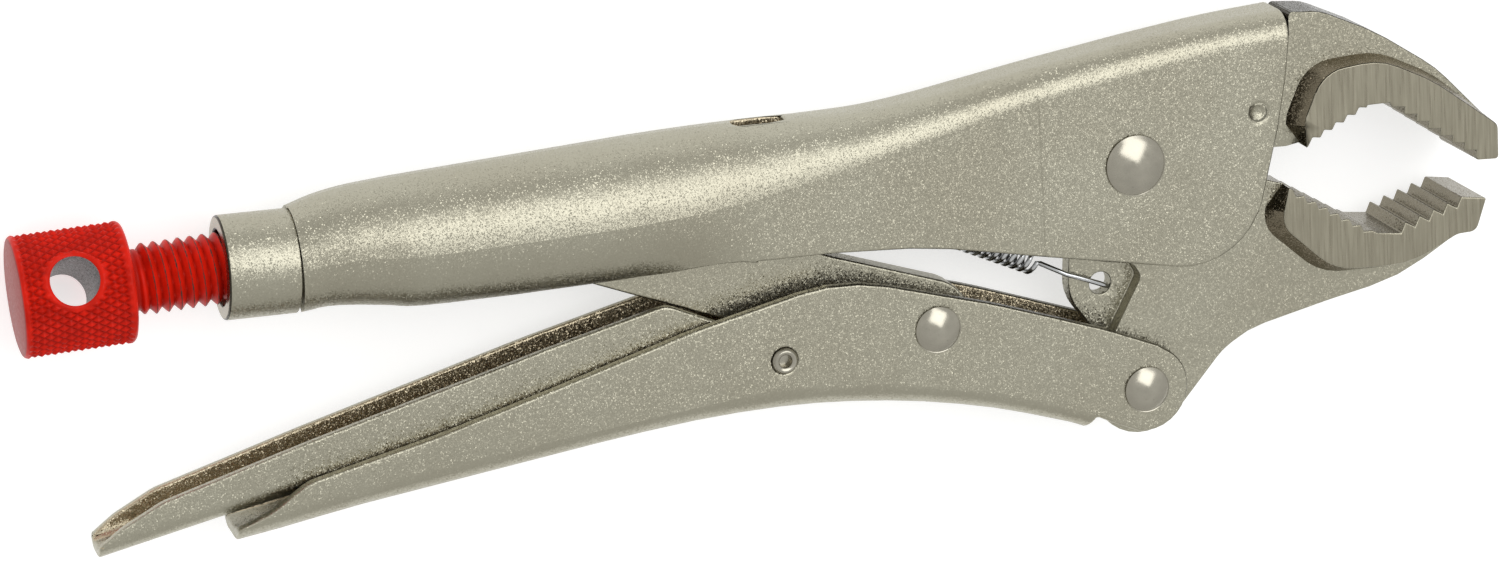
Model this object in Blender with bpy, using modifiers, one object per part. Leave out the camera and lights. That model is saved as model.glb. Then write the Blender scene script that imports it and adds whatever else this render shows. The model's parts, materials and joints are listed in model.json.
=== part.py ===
"""Ten inch class curved jaw locking pliers, lying on one side as on a bench.

The tool frame is in millimetres: X runs along the adjusting screw towards the jaws, Y towards the
fixed handle, Z across the tool's width. Its origin is where the screw enters the threaded neck.
Each mesh is made in that frame, scaled to metres, and hung on the empty of its moving body.
"""

import math

import bmesh
import bpy
from mathutils import Matrix, Vector

MM = 0.001
GAP = 0.3

# Pivots, in the plane of the tool
JAW_PIVOT = (146.8, -3.3)
LEVER_PIVOT = (147.3, -41.0)
LINK_PIVOT = (112.2, -25.3)
RELEASE_PIVOT = (86.5, -26.4)

# Stock thicknesses
HANDLE_SHEET = 1.9
LEVER_SHEET = 1.9
RELEASE_SHEET = 1.5
JAW_PLATE = 8.4
JAW_WIDTH = 14.15
LINK_PLATE = 4.8
EAR_PLATE = 3.0

# Radii of the rounded eyes about the pivots
LEVER_EYE = 7.15
LINK_EYE = 7.0

# Adjusting screw
KNOB_RADIUS = 9.4
KNOB_BACK = -31.3
KNOB_FRONT = -14.1
KNOB_HOLE_X = -23.1
KNOB_HOLE_RADIUS = 3.75
KNOB_HOLE_TURN = 24.7
SCREW_RADIUS = 5.5
CORE_RADIUS = 3.6
SCREW_END = 36.0
NOSE_END = 40.3

# Threaded neck
NECK_RADIUS = 8.07
NECK_LENGTH = 11.2
NECK_BORE = 5.85
NECK_DROOP = 2.4
SPIGOT_END = 30.0

# Rivets: head radius, head height, shank radius
JAW_RIVET = (5.0, 1.5, 3.2)
LEVER_RIVET = (3.8, 1.3, 2.4)
LINK_RIVET = (3.8, 1.3, 2.2)

# Tubular pin of the release lever
RELEASE_PIN_RADIUS = 1.75
RELEASE_PIN_BORE = 0.9

# Half of the width over the walls that each rivet's heads bear on
JAW_GRIP = 6.6
LEVER_GRIP = 6.35
LINK_GRIP = 6.8
RELEASE_GRIP = 7.2

# Handle sections: x, top, half width, top corner radius, length and bend in degrees of each lip
HANDLE_SECTIONS = (
    (11.4, 8.05, 8.30, 8.29, 9.8, 68),
    (15.5, 9.20, 8.75, 8.74, 10.3, 68),
    (20.0, 9.90, 9.30, 9.29, 11.0, 68),
    (25.0, 10.20, 9.85, 9.84, 11.7, 68),
    (30.0, 10.40, 10.35, 10.34, 12.3, 68),
    (45.0, 10.85, 10.85, 10.84, 12.8, 68),
    (60.0, 11.20, 11.15, 11.14, 13.0, 68),
    (66.0, 11.35, 11.10, 11.09, 12.0, 58),
    (73.0, 11.40, 10.95, 10.90, 9.8, 30),
    (80.0, 11.35, 10.45, 10.35, 9.6, 8),
    (88.0, 11.10, 9.70, 9.40, 12.0, 0),
    (96.0, 10.75, 8.90, 7.90, 12.0, 0),
    (104.0, 10.70, 8.10, 6.70, 12.0, 0),
    (112.0, 11.30, 7.45, 5.70, 12.0, 0),
    (121.0, 12.40, 7.00, 5.00, 12.0, 0),
    (131.0, 13.80, 6.70, 4.60, 12.0, 0),
    (142.0, 15.15, 6.60, 4.40, 12.0, 0),
    (152.0, 16.25, 6.60, 4.30, 12.0, 0),
    (163.0, 17.25, 6.60, 4.20, 12.0, 0),
    (176.0, 17.90, 6.60, 4.20, 12.0, 0),
)
# Lever sections: x, bottom, half width, bottom corner radius
LEVER_SECTIONS = (
    (-4.0, -42.85, 6.60, 4.2),
    (5.0, -41.80, 6.75, 4.2),
    (18.0, -40.00, 7.00, 4.2),
    (40.0, -37.80, 7.20, 4.2),
    (56.0, -36.20, 7.25, 4.2),
    (72.0, -35.05, 7.25, 4.2),
    (86.0, -35.00, 7.20, 4.2),
    (98.0, -36.00, 7.05, 4.1),
    (110.0, -38.00, 6.80, 3.9),
    (122.0, -41.00, 6.55, 3.6),
    (132.0, -44.40, 6.40, 3.2),
    (137.0, -46.40, 6.35, 3.0),
    (143.0, -50.00, 6.35, 3.0),
    (150.0, -54.00, 6.35, 3.0),
    (158.0, -58.00, 6.35, 3.0),
)
RELEASE_SECTIONS = (
    (-27.0, -43.10, 4.10, 3.0),
    (-20.0, -41.85, 4.25, 3.0),
    (-10.0, -40.00, 4.30, 3.0),
    (2.0, -38.00, 4.35, 3.0),
    (18.0, -35.70, 4.60, 3.0),
    (40.0, -33.00, 4.85, 3.0),
    (60.0, -31.20, 4.85, 3.0),
    (80.0, -31.00, 4.85, 3.0),
    (104.0, -32.60, 4.85, 3.0),
)

# Return spring
SPRING_WIRE = 0.4
SPRING_RADIUS = 2.15
SPRING_TURNS = 17
SPRING_LOW = (131.0, -18.4)
SPRING_HIGH = (103.5, -4.6)
EAR_HOLE = (141.9, -23.6)
EAR_HOLE_RADIUS = 1.85
TONGUE_HOOK = (88.3, 7.6)

ARC_STEP = 12.0
ROUND_STEPS = 40


# ---------------------------------------------------------------- scene and groups

def clear_scene():
    for old in list(bpy.data.objects):
        bpy.data.objects.remove(old, do_unlink=True)


def new_collection(name):
    made = bpy.data.collections.new(name)
    bpy.context.scene.collection.children.link(made)
    return made


def pivot_empty(name, place, parent=None, parent_place=(0.0, 0.0)):
    """An empty on a joint's axis; its parent is the empty of the body that it moves on."""
    empty = bpy.data.objects.new(name, None)
    empty.empty_display_size = 6 * MM
    empty.parent = parent
    empty.location = [(a - b) * MM for a, b in zip((*place, 0.0), (*parent_place, 0.0))]
    PARTS.objects.link(empty)
    return {"empty": empty, "place": (*place, 0.0)}


def finish(obj, body, material=None, cutter=False):
    """Hang an object made in the tool frame on its body's empty."""
    obj.parent = body["empty"]
    obj.location = [-v * MM for v in body["place"]]
    for home in list(obj.users_collection):
        home.objects.unlink(obj)
    (CUTTERS if cutter else PARTS).objects.link(obj)
    if cutter:
        obj.hide_render = True
        obj.display_type = "WIRE"
    if material:
        obj.data.materials.clear()
        obj.data.materials.append(material)
    return obj


def metal(name, color, roughness, metallic=1.0):
    made = bpy.data.materials.new(name)
    made.use_nodes = True
    shader = made.node_tree.nodes["Principled BSDF"]
    shader.inputs["Base Color"].default_value = (*color, 1.0)
    shader.inputs["Roughness"].default_value = roughness
    shader.inputs["Metallic"].default_value = metallic
    return made


# ---------------------------------------------------------------- outlines

def arc(centre, radius, first, last, step=ARC_STEP):
    """Points along an arc, angles in degrees."""
    count = max(2, math.ceil(abs(last - first) / step) + 1)
    found = []
    for i in range(count):
        angle = math.radians(first + (last - first) * i / (count - 1))
        found.append((centre[0] + radius * math.cos(angle), centre[1] + radius * math.sin(angle)))
    return found


def rounded(corners):
    """A closed outline from corners (x, y) or (x, y, radius), each radius drawn as an arc.

    A list among the corners is a run of points, taken as it is.
    """
    found = []
    for i, corner in enumerate(corners):
        if isinstance(corner, list):
            found += corner
            continue
        here = Vector(corner[:2])
        radius = corner[2] if len(corner) > 2 else 0.0
        if radius == 0.0:
            found.append(tuple(here))
            continue
        before, after = corners[i - 1], corners[(i + 1) % len(corners)]
        before = before[-1] if isinstance(before, list) else before
        after = after[0] if isinstance(after, list) else after
        back = (Vector(before[:2]) - here).normalized()
        ahead = (Vector(after[:2]) - here).normalized()
        turn = back.angle(ahead)
        start = here + back * radius / math.tan(turn / 2)
        end = here + ahead * radius / math.tan(turn / 2)
        middle = here + (back + ahead).normalized() * (radius / math.sin(turn / 2))
        first = math.degrees(math.atan2(*(start - middle).yx))
        last = math.degrees(math.atan2(*(end - middle).yx))
        sweep = (last - first + 180) % 360 - 180
        found += arc(middle, radius, first, first + sweep)
    return found


def teeth(start, end, count, depth, lean):
    """Crests on the line from start to end, and valleys to its left; lean places the valleys."""
    a, b = Vector(start), Vector(end)
    along = (b - a) / count
    inward = Vector((-along.y, along.x)).normalized() * depth
    found = [tuple(a)]
    for i in range(count):
        found.append(tuple(a + along * (i + lean) + inward))
        found.append(tuple(a + along * (i + 1)))
    return found


# ---------------------------------------------------------------- solids

def as_mesh(curve_object, name):
    """The evaluated curve as a mesh object with its caps welded on."""
    bpy.context.view_layer.update()
    graph = bpy.context.evaluated_depsgraph_get()
    mesh = bpy.data.meshes.new_from_object(curve_object.evaluated_get(graph))
    bpy.data.objects.remove(curve_object, do_unlink=True)
    mesh.name = name
    bm = bmesh.new()
    bm.from_mesh(mesh)
    bmesh.ops.remove_doubles(bm, verts=bm.verts, dist=1e-6)
    bmesh.ops.recalc_face_normals(bm, faces=bm.faces)
    bm.to_mesh(mesh)
    bm.free()
    return bpy.data.objects.new(name, mesh)


def flat_curve(name, rings, thickness, middle=0.0):
    """A plate from closed outlines in the tool's plane; outlines after the first are holes."""
    data = bpy.data.curves.new(name, "CURVE")
    data.dimensions = "2D"
    data.fill_mode = "BOTH"
    data.extrude = thickness / 2 * MM
    for ring in rings:
        spline = data.splines.new("POLY")
        spline.points.add(len(ring) - 1)
        for point, place in zip(spline.points, ring):
            point.co = (place[0] * MM, place[1] * MM, 0.0, 1.0)
        spline.use_cyclic_u = True
    made = bpy.data.objects.new(name, data)
    bpy.context.scene.collection.objects.link(made)
    made = as_mesh(made, name)
    made.data.transform(Matrix.Translation((0.0, 0.0, middle * MM)))
    return made


def turned(name, profile, axis="Z", place=(0.0, 0.0), steps=ROUND_STEPS, ring=False):
    """A turned solid: profile points are (distance along the axis, radius)."""
    mesh = bpy.data.meshes.new(name)
    points = [(r * MM, 0.0, d * MM) for d, r in profile]
    edges = [(i, i + 1) for i in range(len(points) - 1)]
    if ring:
        edges.append((len(points) - 1, 0))
    mesh.from_pydata(points, edges, [])
    made = bpy.data.objects.new(name, mesh)
    screw = made.modifiers.new("turn", "SCREW")
    screw.steps = steps
    screw.render_steps = steps
    screw.use_merge_vertices = True
    screw.merge_threshold = 1e-6
    screw.use_smooth_shade = True
    bpy.context.scene.collection.objects.link(made)
    made = as_mesh(made, name)
    if axis == "X":
        made.data.transform(Matrix.Rotation(math.pi / 2, 4, "Y"))
    made.data.transform(Matrix.Translation((place[0] * MM, place[1] * MM, 0.0)))
    return made


def tube_along(name, points, radius):
    """Round wire along points in the tool frame."""
    data = bpy.data.curves.new(name, "CURVE")
    data.dimensions = "3D"
    data.bevel_depth = radius * MM
    data.bevel_resolution = 1
    data.use_fill_caps = True
    spline = data.splines.new("POLY")
    spline.points.add(len(points) - 1)
    for point, place in zip(spline.points, points):
        point.co = (*[v * MM for v in place], 1.0)
    made = bpy.data.objects.new(name, data)
    bpy.context.scene.collection.objects.link(made)
    return as_mesh(made, name)


def combine(obj, other, operation, label):
    step = obj.modifiers.new(label, "BOOLEAN")
    step.operation = operation
    step.object = other
    step.solver = "EXACT"
    return step


def pin_cutter(name, place, radius, body, length=40.0):
    """A round cutter across the tool's width."""
    bm = bmesh.new()
    bmesh.ops.create_cone(
        bm, cap_ends=True, segments=ROUND_STEPS, radius1=radius * MM, radius2=radius * MM,
        depth=length * MM, matrix=Matrix.Translation((place[0] * MM, place[1] * MM, 0.0)),
    )
    mesh = bpy.data.meshes.new(name)
    bm.to_mesh(mesh)
    bm.free()
    return finish(bpy.data.objects.new(name, mesh), body, cutter=True)


def skin(name, sections, side_points):
    """An open sheet through cross sections; side_points gives one section's (y, z) points."""
    bm = bmesh.new()
    rows = []
    for section in sections:
        row = [
            bm.verts.new((section[0] * MM, y * MM, z * MM)) for y, z in side_points(section)
        ]
        rows.append(row)
    for before, after in zip(rows, rows[1:]):
        for i in range(len(before) - 1):
            bm.faces.new((before[i], after[i], after[i + 1], before[i + 1]))
    mesh = bpy.data.meshes.new(name)
    bm.to_mesh(mesh)
    bm.free()
    return bpy.data.objects.new(name, mesh)


def smooth_sections(sections, parts):
    """Sections between the given ones, on a smooth curve through each column."""
    found = []
    last = len(sections) - 1
    for i in range(last):
        before, here = sections[max(i - 1, 0)], sections[i]
        after, beyond = sections[i + 1], sections[min(i + 2, last)]
        for part in range(parts):
            t = part / parts
            row = []
            for a, b, c, d in zip(before, here, after, beyond):
                bend = 2 * a - 5 * b + 4 * c - d
                cube = -a + 3 * b - 3 * c + d
                row.append(b + (c - a) * t / 2 + bend * t * t / 2 + cube * t**3 / 2)
            found.append(tuple(row))
    found.append(tuple(sections[last]))
    return found


# ---------------------------------------------------------------- handle side

def handle_section(section):
    """Half of the handle's section, mirrored: flat top, corner, wall and inward lip."""
    x, top, half, corner, lip, bend = section
    bend = max(bend, 0.0)
    wall_end = -11.4 - 0.2 * max(0.0, x - 88.0)
    wall = max(0.05, top - corner - lip - wall_end) if x > 84.0 else 0.05
    points = [(top, half - corner)]
    for i in range(1, 9):
        angle = math.radians(90 * i / 8)
        points.append(
            (top - corner * (1 - math.cos(angle)), half - corner * (1 - math.sin(angle)))
        )
    y, z, heading = top - corner, half, 0.0
    y -= wall
    points.append((y, z))
    pieces = 8
    for _ in range(pieces):
        heading += math.radians(bend) / pieces
        middle = heading - math.radians(bend) / pieces / 2
        y -= lip / pieces * math.cos(middle)
        z -= lip / pieces * math.sin(middle)
        points.append((y, z))
    near = points[::-1]
    return near + [(y, -z) for y, z in points]


def handle_side():
    """The handle's outline seen from the side: jaw end, lower edge, and all of the grip."""
    return rounded((
        (5.0, 30.0),
        (5.0, -16.0),
        (80.0, -16.0),
        (82.0, -8.75, 1.0),
        (95.0, -9.65, 40.0),
        (111.5, -11.6, 60.0),
        (131.0, -16.3, 80.0),
        (165.4, -24.0, 13.0),
        (172.6, 3.0, 60.0),
        (174.0, 14.0, 20.0),
        (174.5, 30.0),
    ))


def handle_shell(body, material):
    obj = skin("handle_shell", smooth_sections(HANDLE_SECTIONS, 3), handle_section)
    wall = obj.modifiers.new("sheet", "SOLIDIFY")
    wall.thickness = HANDLE_SHEET * MM
    wall.offset = -1.0
    wall.use_even_offset = True
    side = finish(flat_curve("handle_side_shape", [handle_side()], 40.0), body, cutter=True)
    combine(obj, side, "INTERSECT", "side outline")
    slot = finish(flat_slot(), body, cutter=True)
    combine(obj, slot, "DIFFERENCE", "lanced slot")
    tongue = finish(spring_tongue(), body, cutter=True)
    combine(obj, tongue, "UNION", "spring tongue")
    socket = finish(spigot("neck_socket_shape", GAP), body, cutter=True)
    combine(obj, socket, "DIFFERENCE", "neck socket").use_self = True
    hole = pin_cutter("handle_pivot_hole", JAW_PIVOT, JAW_RIVET[2] + GAP, body)
    combine(obj, hole, "DIFFERENCE", "pivot hole")
    dimple = finish(punch_mark(), body, cutter=True)
    combine(obj, dimple, "DIFFERENCE", "punch mark")
    return finish(obj, body, material)


def flat_slot():
    """The slot that the spring's tongue was lanced from, in the top of the handle."""
    outline = rounded(((82.4, -1.9, 1.6), (90.8, -1.9), (90.8, 1.9), (82.4, 1.9, 1.6)))
    obj = flat_curve("lanced_slot_shape", [outline], 8.0)
    obj.data.transform(Matrix.Rotation(math.pi / 2, 4, "X"))
    obj.data.transform(Matrix.Translation((0.0, 10.5 * MM, 0.0)))
    return obj


def spring_tongue():
    """The tongue bent down into the channel from the slot's jaw end."""
    outline = ((94.2, 8.7), (94.0, 9.6), (91.2, 9.9), (87.4, 6.4), (88.5, 5.2), (91.9, 8.0))
    return flat_curve("spring_tongue_shape", [outline], 3.0)


def punch_mark():
    """The shallow stake beside the fixed jaw, on the upper wall."""
    bm = bmesh.new()
    bmesh.ops.create_uvsphere(
        bm, u_segments=16, v_segments=12, radius=2.2 * MM,
        matrix=Matrix.Translation((168.3 * MM, 2.3 * MM, 7.9 * MM)),
    )
    mesh = bpy.data.meshes.new("punch_mark_shape")
    bm.to_mesh(mesh)
    bm.free()
    return bpy.data.objects.new("punch_mark_shape", mesh)


def spigot(name, grow=0.0):
    """The part of the neck that reaches inside the handle, or the room for it."""
    profile = (
        (SPIGOT_END + grow, 0.0), (SPIGOT_END + grow, 7.5 + grow), (25.0, 7.1 + grow),
        (18.0, 6.5 + grow), (4.0, 6.3 + grow), (4.0, 0.0),
    )
    return turned(name, profile, axis="X")


def threaded_neck(body, material):
    """The nut that the screw runs in: a plain neck, and a spigot inside the handle."""
    neck = (
        (NECK_LENGTH - 0.2, 0.0), (NECK_LENGTH - 0.2, NECK_RADIUS), (0.5, NECK_RADIUS),
        (0.0, NECK_RADIUS - 0.5), (0.0, 0.0),
    )
    obj = turned("threaded_neck", neck, axis="X")
    obj.data.transform(Matrix.Rotation(math.radians(-NECK_DROOP), 4, "Z"))
    inner = finish(spigot("neck_spigot_shape"), body, cutter=True)
    combine(obj, inner, "UNION", "spigot")
    bore = ((40.0, 0.0), (40.0, NECK_BORE), (-8.0, NECK_BORE), (-8.0, 0.0))
    drill = finish(turned("neck_bore_shape", bore, axis="X"), body, cutter=True)
    combine(obj, drill, "DIFFERENCE", "bore")
    return finish(obj, body, material)


def upper_mouth():
    """The fixed jaw's gripping edge: short flank, flat, long flank."""
    flank = teeth((176.6, -4.2), (186.9, 0.6), 5, 0.8, 0.5)
    reach = teeth((191.2, 0.1), (205.8, -10.4), 7, 1.1, 0.8)
    return flank + [(187.0, 1.0), (190.9, 0.9)] + reach


def fixed_plate():
    return rounded((
        arc(JAW_PIVOT, 9.9, 160, 2),
        (157.6, -3.6),
        (173.8, -4.6),
        upper_mouth(),
        (206.2, -10.9),
        (209.9, -11.2, 0.6),
        (210.0, -5.6, 2.5),
        (200.4, 4.9, 25.0),
        (190.0, 12.2, 30.0),
        (180.5, 16.9, 8.0),
        (174.9, 17.5, 0.8),
        (174.9, 13.6),
        (163.0, 12.9),
        (137.6, 10.4, 1.0),
    ))


def fixed_boss():
    return rounded((
        (176.2, -4.5),
        upper_mouth(),
        (206.2, -10.9),
        (209.9, -11.2, 0.6),
        (209.9, -5.4, 1.5),
        (198.6, 3.5, 18.0),
        (189.5, 8.3, 12.0),
        (179.5, 7.6, 6.0),
        (176.0, 0.0, 4.0),
    ))


def fixed_jaw(body, material):
    obj = flat_curve("fixed_jaw", [fixed_plate()], JAW_PLATE)
    boss = finish(flat_curve("fixed_jaw_boss", [fixed_boss()], JAW_WIDTH), body, cutter=True)
    combine(obj, boss, "UNION", "gripping width")
    return finish(obj, body, material)


def rivet(name, place, sizes, half_grip, body, material):
    """A domed rivet whose heads bear on walls half_grip from the middle."""
    head, height, shank = sizes
    seat = half_grip + 0.1
    sphere = (head * head + height * height) / (2 * height)
    dome = []
    for i in range(7):
        r = head * i / 6
        dome.append((seat + height - sphere + math.sqrt(sphere * sphere - r * r), r))
    upper = dome + [(seat, shank)]
    profile = upper + [(-along, r) for along, r in reversed(upper)]
    return finish(turned(name, profile, place=place), body, material)


# ---------------------------------------------------------------- moving jaw

def lower_mouth():
    """The moving jaw's gripping edge from its tip inwards: large steps, flat, fine flank."""
    found = []
    for i in range(5):
        crest = (203.1 - 2.5 * i, -16.7 - 0.7 * i)
        found += [crest, (crest[0] - 0.8, crest[1] - 1.75)]
    return found + [(188.2, -20.6)] + teeth((187.2, -20.0), (173.6, -11.2), 7, 0.8, 0.5)


def movable_plate():
    return rounded((
        (172.6, -10.6),
        arc(JAW_PIVOT, 9.2, -9, 190),
        (138.9, -18.8, 4.0),
        (146.6, -20.3, 1.8),
        (148.0, -22.7, 1.6),
        (143.0, -31.4),
        arc(LEVER_PIVOT, 8.0, 180, 322),
        (161.4, -37.4, 10.0),
        (166.0, -34.4, 16.0),
        (180.6, -31.6, 60.0),
        (193.0, -29.6, 30.0),
        (205.6, -22.6, 2.0),
        (207.6, -17.5, 0.3),
        lower_mouth(),
    ))


def movable_boss():
    return rounded((
        (172.9, -10.8),
        (171.4, -17.0, 4.0),
        (180.5, -25.8, 10.0),
        (194.0, -26.7, 16.0),
        (202.3, -22.9, 3.0),
        (205.7, -22.9, 1.6),
        (207.6, -17.5, 0.3),
        lower_mouth(),
    ))


def movable_jaw(body, material):
    obj = flat_curve("movable_jaw", [movable_plate()], JAW_PLATE)
    boss = finish(flat_curve("movable_jaw_boss", [movable_boss()], JAW_WIDTH), body, cutter=True)
    combine(obj, boss, "UNION", "gripping width")
    ear = finish(flat_curve("spring_ear_shape", [ear_outline()], EAR_PLATE), body, cutter=True)
    combine(obj, ear, "UNION", "spring ear")
    for label, place, radius in (
        ("jaw_pivot_bore", JAW_PIVOT, JAW_RIVET[2] + GAP),
        ("lever_pivot_bore", LEVER_PIVOT, LEVER_RIVET[2] + GAP),
        ("spring_ear_hole", EAR_HOLE, EAR_HOLE_RADIUS),
    ):
        combine(obj, pin_cutter(label, place, radius, body), "DIFFERENCE", label)
    return finish(obj, body, material)


def ear_outline():
    return rounded((
        (141.0, -10.0),
        (136.9, -17.0, 3.0),
        (136.2, -25.0, 8.0),
        (140.4, -31.2, 3.0),
        (146.0, -33.0),
        (151.0, -30.0),
        (151.0, -14.0),
    ))


def return_spring(body, material):
    """Extension spring: a hook through the jaw's ear, the coil, and a hook on the tongue."""
    low, high = Vector((*SPRING_LOW, 0.0)), Vector((*SPRING_HIGH, 0.0))
    along = (high - low).normalized()
    side = Vector((0.0, 0.0, 1.0))
    up = side.cross(along)
    ear = Vector((*EAR_HOLE, 0.0))
    hook = ear - along * 0.9
    points = [
        hook + side * 1.4 - along * 0.3,
        hook + side * 2.1,
        hook + along * 1.3 + side * 2.2,
        hook + along * 5.2 + side * 2.2 + up * 0.2,
        hook + along * 7.4 + side * 2.1 + up * 0.4,
        low + side * SPRING_RADIUS * 0.6 - along * 0.9,
    ]
    per_turn = 10
    for i in range(SPRING_TURNS * per_turn + 1):
        angle = 2 * math.pi * i / per_turn
        centre = low.lerp(high, i / (SPRING_TURNS * per_turn))
        points.append(
            centre + side * SPRING_RADIUS * math.cos(angle) + up * SPRING_RADIUS * math.sin(angle)
        )
    tip = Vector((*TONGUE_HOOK, 0.0))
    points += [
        high + along * 1.2 + side * 1.9,
        high + along * 2.4 + side * 2.1,
        tip - along * 3.4 + side * 2.1,
        tip - along * 0.6 + side * 2.2,
        tip + along * 1.6 + side * 1.3,
        tip + along * 1.9 - side * 0.6,
    ]
    wire = tube_along("return_spring", [tuple(p) for p in points], SPRING_WIRE)
    return finish(wire, body, material)


# ---------------------------------------------------------------- lever side

def channel_section(section):
    """A channel open towards the handle: bottom, corner and wall, mirrored."""
    x, bottom, half, corner = section
    points = [(bottom, half - corner)]
    for i in range(1, 7):
        angle = math.radians(90 * i / 6)
        points.append(
            (bottom + corner * (1 - math.cos(angle)), half - corner * (1 - math.sin(angle)))
        )
    points.append((bottom + 32.0, half))
    return [(y, -z) for y, z in points[::-1]] + points


def channel(name, sections, sheet, side, body, material):
    obj = skin(name, smooth_sections(sections, 2), channel_section)
    wall = obj.modifiers.new("sheet", "SOLIDIFY")
    wall.thickness = sheet * MM
    wall.offset = -1.0
    wall.use_even_offset = True
    shape = finish(flat_curve(name + "_side_shape", [side], 40.0), body, cutter=True)
    combine(obj, shape, "INTERSECT", "side outline")
    return finish(obj, body, material)


def lever_side():
    return rounded((
        (-2.4, -46.0),
        (-2.0, -40.2, 0.8),
        (3.2, -38.2, 6.0),
        (9.5, -34.2, 6.0),
        (30.0, -30.0, 60.0),
        (48.0, -25.6, 60.0),
        (72.0, -19.4, 60.0),
        (97.0, -14.6, 30.0),
        (122.0, -22.7, 60.0),
        (141.0, -30.0, 40.0),
        (149.6, -33.9),
        arc(LEVER_PIVOT, LEVER_EYE, 62, -103),
        (141.6, -46.0, 4.0),
        (138.6, -44.4, 0.6),
        (137.0, -46.6),
        (137.0, -60.0),
        (-2.4, -60.0),
    ))


def main_lever(body, material):
    obj = channel("main_lever", LEVER_SECTIONS, LEVER_SHEET, lever_side(), body, material)
    window = flat_curve(
        "lever_fork_shape", [((137.6, -60.0), (170.0, -60.0), (170.0, -20.0), (137.6, -20.0))],
        2 * (LEVER_GRIP - LEVER_SHEET),
    )
    combine(obj, finish(window, body, cutter=True), "DIFFERENCE", "fork for the jaw")
    for label, place, radius in (
        ("lever_front_bore", LEVER_PIVOT, LEVER_RIVET[2] + GAP),
        ("lever_link_bore", LINK_PIVOT, LINK_RIVET[2] + GAP),
        ("lever_release_bore", RELEASE_PIVOT, RELEASE_PIN_RADIUS + GAP),
    ):
        combine(obj, pin_cutter(label, place, radius, body), "DIFFERENCE", label)
    return obj


def release_side():
    return rounded((
        (-23.5, -50.0),
        (-23.2, -40.2, 0.8),
        (-19.4, -37.6, 5.0),
        (-13.0, -34.5, 5.0),
        (10.0, -28.6, 60.0),
        (48.0, -19.6, 60.0),
        (68.6, -15.2, 4.0),
        (80.0, -20.9, 3.0),
        (92.0, -24.0, 5.0),
        (99.0, -31.2, 1.0),
        (98.0, -50.0),
    ))


def release_lever(body, material):
    obj = channel("release_lever", RELEASE_SECTIONS, RELEASE_SHEET, release_side(), body, material)
    hole = pin_cutter("release_bore", RELEASE_PIVOT, RELEASE_PIN_RADIUS + GAP, body)
    combine(obj, hole, "DIFFERENCE", "pivot bore")
    return obj


def link_side():
    return rounded((
        (44.2, 3.4, 4.0),
        (44.2, -4.9, 3.0),
        (80.0, -20.45, 90.0),
        arc(LINK_PIVOT, LINK_EYE, -113, 66),
        (94.5, -11.3, 80.0),
        (57.5, 5.2, 5.0),
    ))


def toggle_link(body, material):
    obj = flat_curve("toggle_link", [link_side()], LINK_PLATE)
    bore = pin_cutter("link_bore", LINK_PIVOT, LINK_RIVET[2] + GAP, body)
    combine(obj, bore, "DIFFERENCE", "rivet bore")
    return finish(obj, body, material)


def release_pin(body, material):
    """A tubular pin whose ends are rolled over the lever's walls."""
    shank, bore, roll = RELEASE_PIN_RADIUS, RELEASE_PIN_BORE, RELEASE_PIN_RADIUS + 0.4
    seat = RELEASE_GRIP + 0.1
    end = [(seat, shank), (seat, roll), (seat + 0.65, shank), (seat + 0.5, bore + 0.3),
           (seat - 0.1, bore)]
    profile = end + [(-along, r) for along, r in reversed(end)]
    obj = turned("release_pin", profile, place=RELEASE_PIVOT, steps=24, ring=True)
    return finish(obj, body, material)


# ---------------------------------------------------------------- adjusting screw

def screw_nose(body, material):
    """The plain rounded end that bears on the link, and the core that carries it."""
    profile = (
        (SCREW_END - 6.0, 0.0), (SCREW_END - 6.0, CORE_RADIUS - GAP),
        (SCREW_END + GAP, CORE_RADIUS - GAP), (SCREW_END + GAP, 4.6),
        (NOSE_END - 1.4, 4.4), (NOSE_END - 0.4, 2.6), (NOSE_END, 0.0),
    )
    return finish(turned("screw_nose", profile[::-1], axis="X", steps=32), body, material)


def thumb_screw(body, material):
    """Knob and threaded shank in one piece, with a socket for the nose's core."""
    profile = (
        (KNOB_BACK, 0.0), (KNOB_BACK, KNOB_RADIUS - 0.9), (KNOB_BACK + 0.9, KNOB_RADIUS),
        (KNOB_FRONT - 1.6, KNOB_RADIUS), (KNOB_FRONT - 0.4, KNOB_RADIUS - 0.6),
        (KNOB_FRONT, KNOB_RADIUS - 1.8), (KNOB_FRONT, SCREW_RADIUS + 0.7),
        (KNOB_FRONT + 0.8, SCREW_RADIUS), (SCREW_END - 0.8, SCREW_RADIUS), (SCREW_END, 4.7),
        (SCREW_END, CORE_RADIUS), (SCREW_END - 7.0, CORE_RADIUS), (SCREW_END - 7.0, 0.0),
    )
    obj = turned("thumb_screw", profile[::-1], axis="X", steps=48)
    cross = pin_cutter("knob_cross_hole", (KNOB_HOLE_X, 0.0), KNOB_HOLE_RADIUS, body)
    cross.data.transform(Matrix.Rotation(math.radians(-KNOB_HOLE_TURN), 4, "X"))
    combine(obj, cross, "DIFFERENCE", "cross hole")
    return finish(obj, body, material)


# ---------------------------------------------------------------- assembly

def lay_on_bench(base, names):
    """Move the whole tool so that its lowest point is at Z 0 and its middle above the origin."""
    bpy.context.view_layer.update()
    graph = bpy.context.evaluated_depsgraph_get()
    low, high = Vector((1e9,) * 3), Vector((-1e9,) * 3)
    for name in names:
        shape = bpy.data.objects[name].evaluated_get(graph)
        for corner in shape.bound_box:
            place = shape.matrix_world @ Vector(corner)
            low = Vector(map(min, low, place))
            high = Vector(map(max, high, place))
    middle = (low + high) / 2
    base["empty"].location -= Vector((middle.x, middle.y, low.z))
    bpy.context.view_layer.update()
    print("bench shift, mm:", [round(v / MM, 3) for v in base["empty"].location])
    for empty in [o for o in PARTS.objects if o.type == "EMPTY"]:
        print(empty.name, [round(v, 6) for v in empty.matrix_world.translation])


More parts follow.
